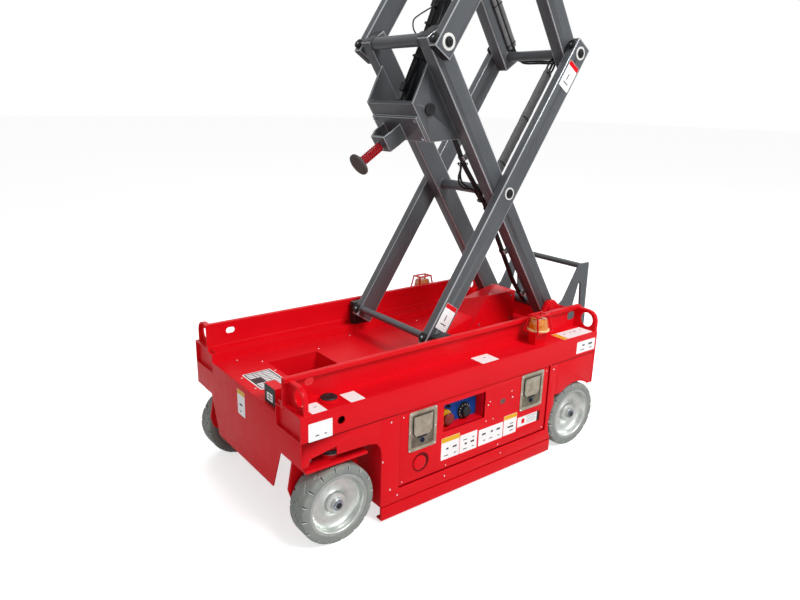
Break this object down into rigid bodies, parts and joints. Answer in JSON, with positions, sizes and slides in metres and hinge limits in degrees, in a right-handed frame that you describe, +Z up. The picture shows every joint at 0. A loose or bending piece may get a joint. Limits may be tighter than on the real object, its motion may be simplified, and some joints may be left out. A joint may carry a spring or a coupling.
{
  "type": "scissor lift",
  "caption": "Self-propelled slab scissor lift: low chassis on solid wheels, raised scissor stack with a lift cylinder, railed platform with roll-out deck.",
  "frame": {"origin": "on the floor, in the middle of the overall length and width", "axes": "+X to the steered front, +Y to the left side with the ground controls, +Z up"},
  "size_m": [2.238, 1.122, 6.2686],
  "materials": {
    "red_paint": "gloss",
    "grey_paint": "textured",
    "grey_tyre": "matt",
    "bright_steel": "brushed",
    "chrome_rod": "polished",
    "black_rubber": "matt",
    "black_plastic": "matt",
    "blue_panel": "satin",
    "amber_lens": "gloss"
  },
  "bodies": {
    "chassis": {"chassis_tray": "red_paint", "underframe": "red_paint", "body_panels": "red_paint", "side_box_left": "red_paint", "side_box_right": "red_paint", "front_axle_beam": "red_paint", "rear_axle": "red_paint", "control_panel": "blue_panel", "control_knobs": "black_rubber", "hydraulic_unit": "black_plastic", "battery_pack": "black_rubber", "rear_pivot_lugs": "red_paint", "rear_cover": "red_paint", "ladder": "grey_paint", "beacon_cages": "red_paint", "beacons": "amber_lens", "sensor_box": "red_paint"},
    "left_door": {"door_left": "red_paint", "door_latches_left": "bright_steel"},
    "right_door": {"door_right": "red_paint", "door_latches_right": "bright_steel"},
    "left_guard": {"pothole_guard_left": "red_paint"},
    "right_guard": {"pothole_guard_right": "red_paint"},
    "left_knuckle": {"knuckle_left": "red_paint"},
    "right_knuckle": {"knuckle_right": "red_paint"},
    "tie_bar": {"tie_rod": "bright_steel"},
    "steer_ram": {"steer_rod": "chrome_rod"},
    "wheel_fl": {"tyre_front_left": "grey_tyre", "rim_front_left": "bright_steel"},
    "wheel_fr": {"tyre_front_right": "grey_tyre", "rim_front_right": "bright_steel"},
    "wheel_rl": {"tyre_rear_left": "grey_tyre", "rim_rear_left": "bright_steel"},
    "wheel_rr": {"tyre_rear_right": "grey_tyre", "rim_rear_right": "bright_steel"},
    "inner_1": {"inner_arms_1": "grey_paint", "cylinder_box": "grey_paint", "plunger": "grey_paint", "hoses_lower": "black_rubber"},
    "outer_1": {"outer_arms_1": "grey_paint", "rest_pads_1": "black_rubber", "hose_sleeve": "black_rubber"},
    "inner_2": {"inner_arms_2": "grey_paint", "hoses_upper": "black_rubber"},
    "outer_2": {"outer_arms_2": "grey_paint", "rest_pads_2": "black_rubber"},
    "inner_3": {"inner_arms_3": "grey_paint"},
    "outer_3": {"outer_arms_3": "grey_paint", "rest_pads_3": "black_rubber"},
    "lower_shoes": {"lower_slide_shoes": "black_plastic"},
    "upper_shoes": {"upper_slide_shoes": "black_plastic"},
    "lift_barrel": {"lift_barrel": "grey_paint"},
    "lift_rod": {"lift_rod": "chrome_rod"},
    "platform": {"platform_frame": "grey_paint", "platform_deck": "grey_paint", "guard_rails": "grey_paint"},
    "gate": {"entry_gate": "grey_paint"},
    "extension": {"extension_deck": "grey_paint", "extension_rails": "grey_paint", "platform_controls": "black_plastic"}
  },
  "joints": [
    {"name": "scissor_raise", "type": "hinge", "parent": "chassis", "child": "inner_1", "pos_m": [-0.745, 0, 0.76], "axis": [0, -1, 0], "range_deg": [-52.2, 3.3]},
    {"name": "cross_1", "type": "hinge", "parent": "inner_1", "child": "outer_1", "pos_m": [-0.27723, 0, 1.47211], "axis": [0, -1, 0], "range_deg": [-6.65, 104.45]},
    {"name": "stack_2", "type": "hinge", "parent": "outer_1", "child": "inner_2", "pos_m": [-0.745, 0, 2.18422], "axis": [0, -1, 0], "range_deg": [-104.45, 6.65]},
    {"name": "cross_2", "type": "hinge", "parent": "inner_2", "child": "outer_2", "pos_m": [-0.27723, 0, 2.89632], "axis": [0, -1, 0], "range_deg": [-6.65, 104.45]},
    {"name": "stack_3", "type": "hinge", "parent": "outer_2", "child": "inner_3", "pos_m": [-0.745, 0, 3.60843], "axis": [0, -1, 0], "range_deg": [-104.45, 6.65]},
    {"name": "cross_3", "type": "hinge", "parent": "inner_3", "child": "outer_3", "pos_m": [-0.27723, 0, 4.32054], "axis": [0, -1, 0], "range_deg": [-6.65, 104.45]},
    {"name": "platform_pivot", "type": "hinge", "parent": "outer_3", "child": "platform", "pos_m": [-0.745, 0, 5.03265], "axis": [0, -1, 0], "range_deg": [-52.25, 3.35]},
    {"name": "lower_shoe_pivot", "type": "hinge", "parent": "outer_1", "child": "lower_shoes", "pos_m": [0.19053, 0, 0.76], "axis": [0, -1, 0], "range_deg": [-52.25, 3.35]},
    {"name": "upper_shoe_pivot", "type": "hinge", "parent": "inner_3", "child": "upper_shoes", "pos_m": [0.19053, 0, 5.03265], "axis": [0, -1, 0], "range_deg": [-3.35, 52.25]},
    {"name": "cylinder_foot", "type": "hinge", "parent": "inner_1", "child": "lift_barrel", "pos_m": [0.17397, 0, 1.88761], "axis": [0, -1, 0], "range_deg": [-6.58, 103.33]},
    {"name": "cylinder_stroke", "type": "slide", "parent": "lift_barrel", "child": "lift_rod", "axis": [-0.4085, 0, 0.9128], "range_m": [-0.3695, 0.0252]},
    {"name": "wheel_fl_spin", "type": "hinge", "parent": "left_knuckle", "child": "wheel_fl", "pos_m": [0.928, 0.5, 0.1905], "axis": [0, 1, 0], "continuous": true},
    {"name": "wheel_fr_spin", "type": "hinge", "parent": "right_knuckle", "child": "wheel_fr", "pos_m": [0.928, -0.5, 0.1905], "axis": [0, 1, 0], "continuous": true},
    {"name": "wheel_rl_spin", "type": "hinge", "parent": "chassis", "child": "wheel_rl", "pos_m": [-0.685, 0.5, 0.1905], "axis": [0, 1, 0], "continuous": true},
    {"name": "wheel_rr_spin", "type": "hinge", "parent": "chassis", "child": "wheel_rr", "pos_m": [-0.685, -0.5, 0.1905], "axis": [0, 1, 0], "continuous": true},
    {"name": "steer_left", "type": "hinge", "parent": "chassis", "child": "left_knuckle", "pos_m": [0.928, 0.476, 0.4], "axis": [0, 0, 1], "range_deg": [-60, 60]},
    {"name": "steer_right", "type": "hinge", "parent": "chassis", "child": "right_knuckle", "pos_m": [0.928, -0.476, 0.4], "axis": [0, 0, 1], "range_deg": [-60.1, 60.1]},
    {"name": "tie_rod_pivot", "type": "hinge", "parent": "left_knuckle", "child": "tie_bar", "pos_m": [1.038, 0.476, 0.42], "axis": [0, 0, 1], "range_deg": [-60.1, 60.1]},
    {"name": "steer_stroke", "type": "slide", "parent": "chassis", "child": "steer_ram", "axis": [0, -1, 0], "range_m": [-0.0973, 0.0973]},
    {"name": "door_left_hinge", "type": "hinge", "parent": "chassis", "child": "left_door", "pos_m": [0, 0.538, 0.178], "axis": [-1, 0, 0], "range_deg": [0, 90]},
    {"name": "door_right_hinge", "type": "hinge", "parent": "chassis", "child": "right_door", "pos_m": [0, -0.538, 0.178], "axis": [1, 0, 0], "range_deg": [0, 90]},
    {"name": "guard_left_hinge", "type": "hinge", "parent": "chassis", "child": "left_guard", "pos_m": [0, 0.536, 0.079], "axis": [-1, 0, 0], "range_deg": [0, 70]},
    {"name": "guard_right_hinge", "type": "hinge", "parent": "chassis", "child": "right_guard", "pos_m": [0, -0.536, 0.079], "axis": [1, 0, 0], "range_deg": [0, 70]},
    {"name": "gate_hinge", "type": "hinge", "parent": "platform", "child": "gate", "pos_m": [-1.078, 0.29, 5.66865], "axis": [0, 0, 1], "range_deg": [0, 80]},
    {"name": "deck_extension", "type": "slide", "parent": "platform", "child": "extension", "axis": [1, 0, 0], "range_m": [0, 0.9]}
  ],
  "couplings": [
    {"joint": "cross_1", "follows": "scissor_raise", "ratio": -2},
    {"joint": "stack_2", "follows": "scissor_raise", "ratio": 2},
    {"joint": "cross_2", "follows": "scissor_raise", "ratio": -2},
    {"joint": "stack_3", "follows": "scissor_raise", "ratio": 2},
    {"joint": "cross_3", "follows": "scissor_raise", "ratio": -2},
    {"joint": "platform_pivot", "follows": "scissor_raise", "ratio": 1},
    {"joint": "lower_shoe_pivot", "follows": "scissor_raise", "ratio": 1},
    {"joint": "upper_shoe_pivot", "follows": "scissor_raise", "ratio": -1},
    {"joint": "cylinder_foot", "follows": "scissor_raise", "ratio": -1.9785},
    {"joint": "cylinder_stroke", "follows": "scissor_raise", "m_per_rad": 0.4034},
    {"joint": "steer_right", "follows": "steer_left", "ratio": 1},
    {"joint": "tie_rod_pivot", "follows": "steer_left", "ratio": -1},
    {"joint": "steer_stroke", "follows": "steer_left", "m_per_rad": -0.091}
  ]
}
